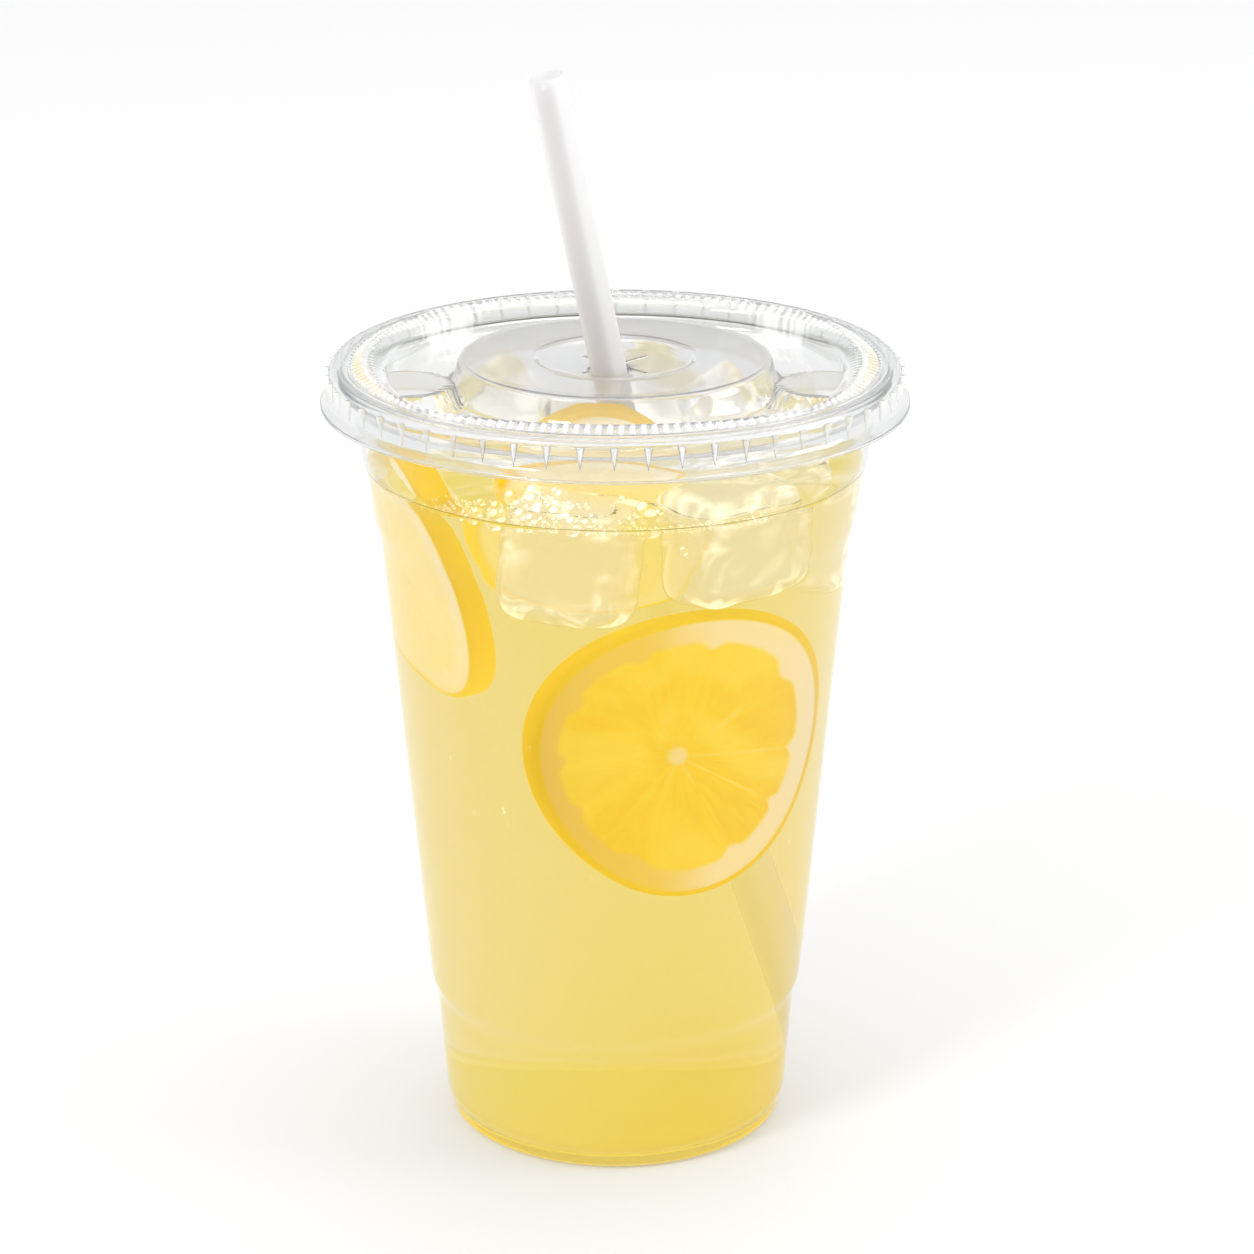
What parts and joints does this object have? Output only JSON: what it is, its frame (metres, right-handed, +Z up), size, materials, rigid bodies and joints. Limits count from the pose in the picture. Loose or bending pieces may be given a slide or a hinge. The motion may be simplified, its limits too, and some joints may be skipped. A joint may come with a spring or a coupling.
{
  "type": "cup of iced lemonade",
  "caption": "Clear plastic takeaway cup of cloudy iced lemonade with lemon slices, a flat clip-on lid and a straight white straw.",
  "frame": {"origin": "middle of the base, on the surface that the cup stands on", "axes": "+Z up along the cup's axis, -Y towards the front, where the large lemon slice shows, +X to the right of it"},
  "size_m": [0.1044, 0.1044, 0.1967],
  "materials": {
    "cup_plastic": "clear polished plastic",
    "lid_plastic": "clear polished plastic",
    "straw": "satin white",
    "lemonade": "cloudy pale yellow liquid",
    "lemon": "wet rind, pith and flesh",
    "ice": "clear wet ice"
  },
  "bodies": {
    "root": {"cup": "cup_plastic", "lid": "lid_plastic", "straw": "straw", "lemonade": "lemonade", "lemon_slice_front": "lemon", "lemon_slice_left": "lemon", "lemon_slice_middle": "lemon", "ice_1": "ice", "ice_2": "ice", "ice_3": "ice", "ice_4": "ice", "ice_5": "ice", "ice_6": "ice", "ice_7": "ice"}
  },
  "joints": []
}
